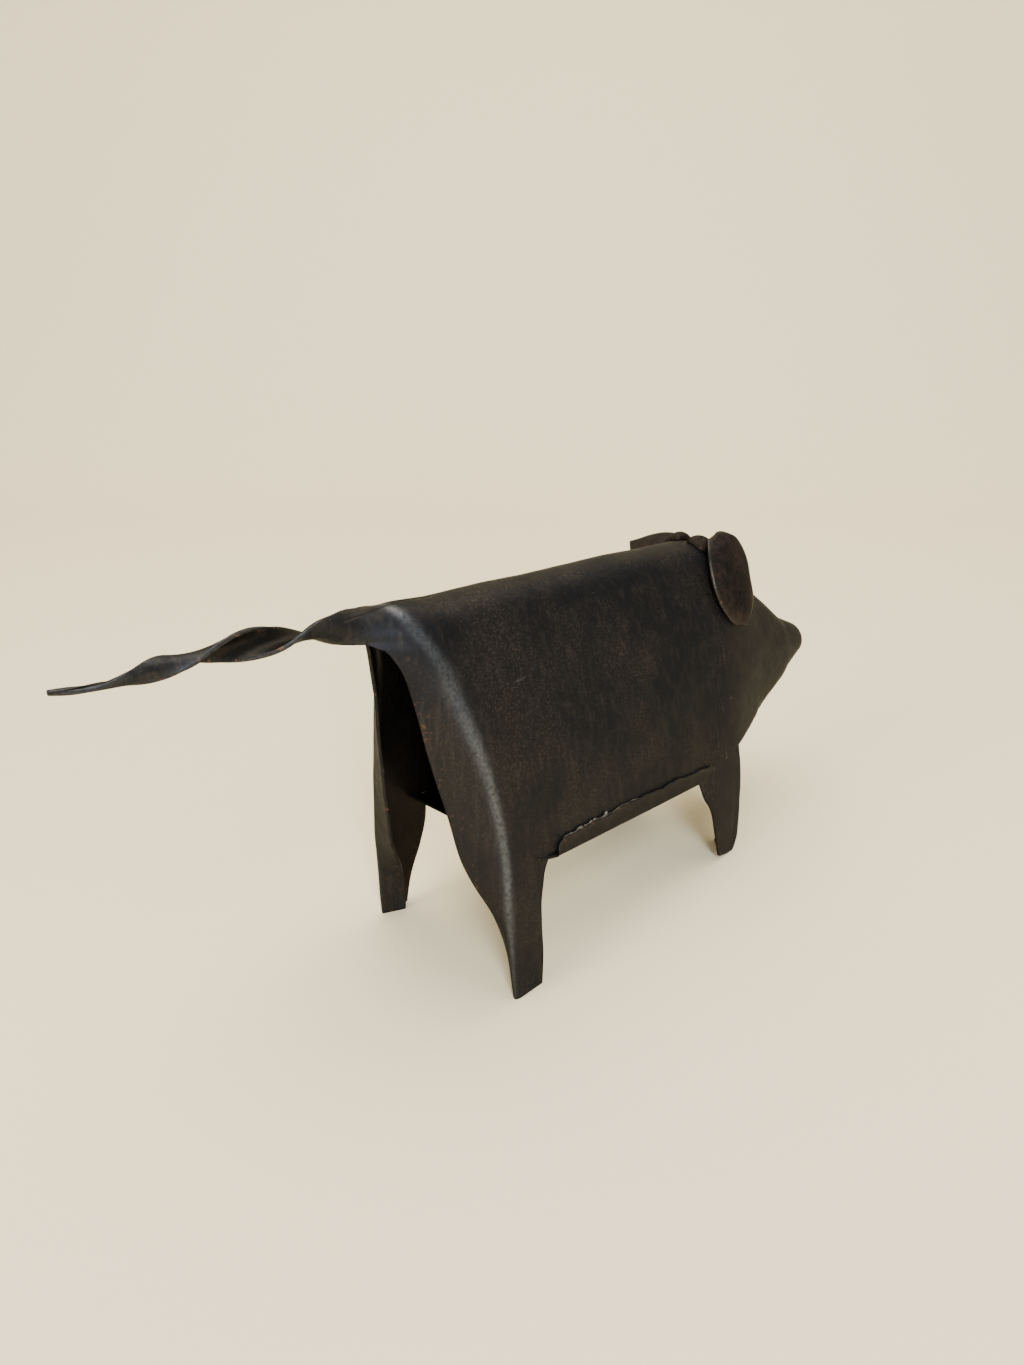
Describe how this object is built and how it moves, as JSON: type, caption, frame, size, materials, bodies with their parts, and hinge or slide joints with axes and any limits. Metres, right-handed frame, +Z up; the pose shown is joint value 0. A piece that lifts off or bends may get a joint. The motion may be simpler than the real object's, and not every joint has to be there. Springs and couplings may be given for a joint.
{
  "type": "pig figurine",
  "caption": "Free-standing pig ornament folded from dark sheet iron, hollow, with rolled legs, a tapered snout, soldered leaf ears, a lapped belly plate and a long twisted tail",
  "frame": {"origin": "middle of the length and width, on the ground under the feet", "axes": "+X to the snout, +Y to the pig's left, +Z up"},
  "size_m": [0.2546, 0.0536, 0.101],
  "materials": {
    "oxidised_iron": "dark oxidised sheet iron, waxed, semi-gloss, worn bright on the folds",
    "belly_iron": "dark oxidised sheet iron, satin",
    "ear_iron": "brown oxidised sheet iron with rust spots, satin",
    "solder": "dull grey soft solder",
    "aged_solder": "soft solder gone dark brown with age, lumpy"
  },
  "bodies": {
    "root": {"body_sheet": "oxidised_iron", "belly_plate": "belly_iron", "belly_solder_right": "solder", "belly_solder_left": "solder", "ear_right": "ear_iron", "ear_left": "ear_iron", "ear_solder_right": "aged_solder", "ear_solder_left": "aged_solder", "nose_disc": "ear_iron"}
  },
  "joints": []
}
